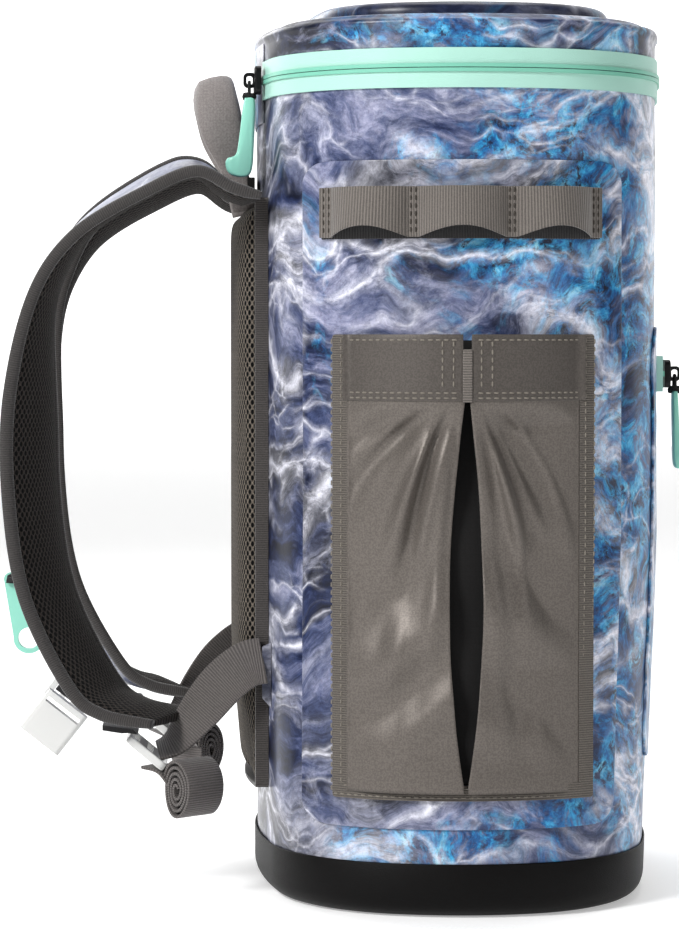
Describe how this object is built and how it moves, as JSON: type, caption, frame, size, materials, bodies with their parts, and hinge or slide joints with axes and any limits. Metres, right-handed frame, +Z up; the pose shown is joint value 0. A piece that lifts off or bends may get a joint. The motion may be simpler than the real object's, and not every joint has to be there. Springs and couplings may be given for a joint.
{
  "type": "tackle backpack",
  "caption": "Oval welded tackle backpack with a zipped lid, moulded base, side tool pockets, gear loops, mesh back pad and shoulder straps.",
  "frame": {"origin": "middle of the underside of the moulded base, on the ground", "axes": "+X out of the front pocket, -X towards the wearer's back, +Z up, -Y to the wearer's left"},
  "size_m": [0.3628, 0.3322, 0.4685],
  "materials": {
    "air_mesh": "spacer mesh with rows of round holes",
    "base_moulding": "moulded foam, matt and finely pebbled",
    "black_cord": "braided cord",
    "black_metal": "painted, satin",
    "camo_fabric": "coated fabric with a blue and lilac water pattern, slight gloss",
    "crown_fabric": "coated fabric, darker water pattern",
    "dark_fabric": "plain weave",
    "grey_webbing": "ribbed webbing and binding tape",
    "grip_fabric": "padded fabric",
    "liner_foam": "foam faced with plain fabric",
    "mint_moulding": "soft moulded, satin",
    "pocket_ripstop": "ripstop weave",
    "stiffener": "sheet plastic",
    "strap_mesh": "spacer mesh with rows of round holes",
    "white_plastic": "moulded, glossy",
    "zip_coil": "zip coil",
    "zip_tape": "coated zip tape"
  },
  "bodies": {
    "bag": {"main_shell": "camo_fabric", "inner_liner": "liner_foam", "base_tub": "base_moulding", "base_board": "stiffener", "back_plate": "stiffener", "back_pad": "air_mesh", "back_pad_binding": "grey_webbing", "top_zip_lower_tape": "zip_tape", "top_zip_lower_coil": "zip_coil", "top_zip_slider": "black_metal", "front_pocket": "camo_fabric", "front_zip_tape": "zip_tape", "front_zip_coil": "zip_coil", "lid_hinge_strip": "camo_fabric", "handle_anchor": "dark_fabric", "left_side_panel": "camo_fabric", "left_gear_loop_base": "grey_webbing", "left_gear_loops": "grey_webbing", "left_tool_pocket": "pocket_ripstop", "left_pocket_binding": "grey_webbing", "left_strap_root": "dark_fabric", "left_lower_tab": "grey_webbing", "right_side_panel": "camo_fabric", "right_gear_loop_base": "grey_webbing", "right_gear_loops": "grey_webbing", "right_tool_pocket": "pocket_ripstop", "right_pocket_binding": "grey_webbing", "right_strap_root": "dark_fabric", "right_lower_tab": "grey_webbing"},
    "lid": {"lid_shell": "camo_fabric", "lid_crown": "crown_fabric", "lid_liner": "liner_foam", "top_zip_upper_tape": "zip_tape", "top_zip_upper_coil": "zip_coil"},
    "top_zip_pull": {"top_pull_cord": "black_cord", "top_pull": "mint_moulding"},
    "front_slider": {"front_zip_slider": "black_metal"},
    "front_zip_pull": {"front_pull_cord": "black_cord", "front_pull": "mint_moulding"},
    "handle": {"handle_webbing": "grey_webbing", "handle_grip": "grip_fabric"},
    "left_strap": {"left_strap_pad": "strap_mesh", "left_strap_binding": "grey_webbing", "left_strap_loop": "grey_webbing", "left_adjust_webbing": "grey_webbing", "left_sternum_webbing": "grey_webbing", "ring_keeper": "grey_webbing"},
    "right_strap": {"right_strap_pad": "strap_mesh", "right_strap_binding": "grey_webbing", "right_strap_loop": "grey_webbing", "right_adjust_webbing": "grey_webbing", "right_sternum_webbing": "grey_webbing"},
    "left_lock": {"left_ladderlock": "white_plastic"},
    "right_lock": {"right_ladderlock": "white_plastic"},
    "left_tail": {"left_webbing_tail": "grey_webbing"},
    "right_tail": {"right_webbing_tail": "grey_webbing"},
    "buckle_socket": {"sternum_socket": "white_plastic"},
    "buckle_plug": {"sternum_plug": "white_plastic"},
    "ring": {"tool_ring": "mint_moulding"}
  },
  "joints": [
    {"name": "lid_hinge", "type": "hinge", "parent": "bag", "child": "lid", "pos_m": [-0.109, 0, 0.44], "axis": [0, -1, 0], "range_deg": [0, 100]},
    {"name": "top_pull_swing", "type": "hinge", "parent": "bag", "child": "top_zip_pull", "pos_m": [-0.1106, -0.061, 0.4291], "axis": [0, 1, 0], "range_deg": [0, 70]},
    {"name": "front_slider_travel", "type": "slide", "parent": "bag", "child": "front_slider", "axis": [0, 1, 0], "range_m": [0, 0.096]},
    {"name": "front_pull_swing", "type": "hinge", "parent": "front_slider", "child": "front_zip_pull", "pos_m": [0.1173, -0.048, 0.2741], "axis": [0, -1, 0], "range_deg": [0, 80]},
    {"name": "handle_swing", "type": "hinge", "parent": "bag", "child": "handle", "pos_m": [-0.12234, 0, 0.37497], "axis": [0, -1, 0], "range_deg": [-6, 40]},
    {"name": "left_strap_swing", "type": "hinge", "parent": "bag", "child": "left_strap", "pos_m": [-0.109, -0.072, 0.245], "axis": [0, 0, 1], "range_deg": [-8, 25]},
    {"name": "right_strap_swing", "type": "hinge", "parent": "bag", "child": "right_strap", "pos_m": [-0.109, 0.072, 0.245], "axis": [0, 0, -1], "range_deg": [-8, 25]},
    {"name": "left_lock_tilt", "type": "hinge", "parent": "left_strap", "child": "left_lock", "pos_m": [-0.173, -0.074, 0.0837], "axis": [0, 1, 0], "range_deg": [0, 18]},
    {"name": "right_lock_tilt", "type": "hinge", "parent": "right_strap", "child": "right_lock", "pos_m": [-0.173, 0.074, 0.0837], "axis": [0, 1, 0], "range_deg": [0, 18]},
    {"name": "left_tail_swing", "type": "hinge", "parent": "left_lock", "child": "left_tail", "pos_m": [-0.165, -0.074, 0.069], "axis": [0, 1, 0], "range_deg": [0, 35]},
    {"name": "right_tail_swing", "type": "hinge", "parent": "right_lock", "child": "right_tail", "pos_m": [-0.165, 0.074, 0.069], "axis": [0, 1, 0], "range_deg": [0, 35]},
    {"name": "socket_swing", "type": "hinge", "parent": "left_strap", "child": "buckle_socket", "pos_m": [-0.20556, -0.086, 0.1033], "axis": [0.7848, 0, -0.6198], "range_deg": [-30, 45]},
    {"name": "plug_swing", "type": "hinge", "parent": "right_strap", "child": "buckle_plug", "pos_m": [-0.20556, 0.086, 0.1033], "axis": [-0.7848, 0, 0.6198], "range_deg": [-30, 45]},
    {"name": "ring_swing", "type": "hinge", "parent": "left_strap", "child": "ring", "pos_m": [-0.236, -0.08, 0.168], "axis": [0, 1, 0], "range_deg": [0, 70]}
  ]
}
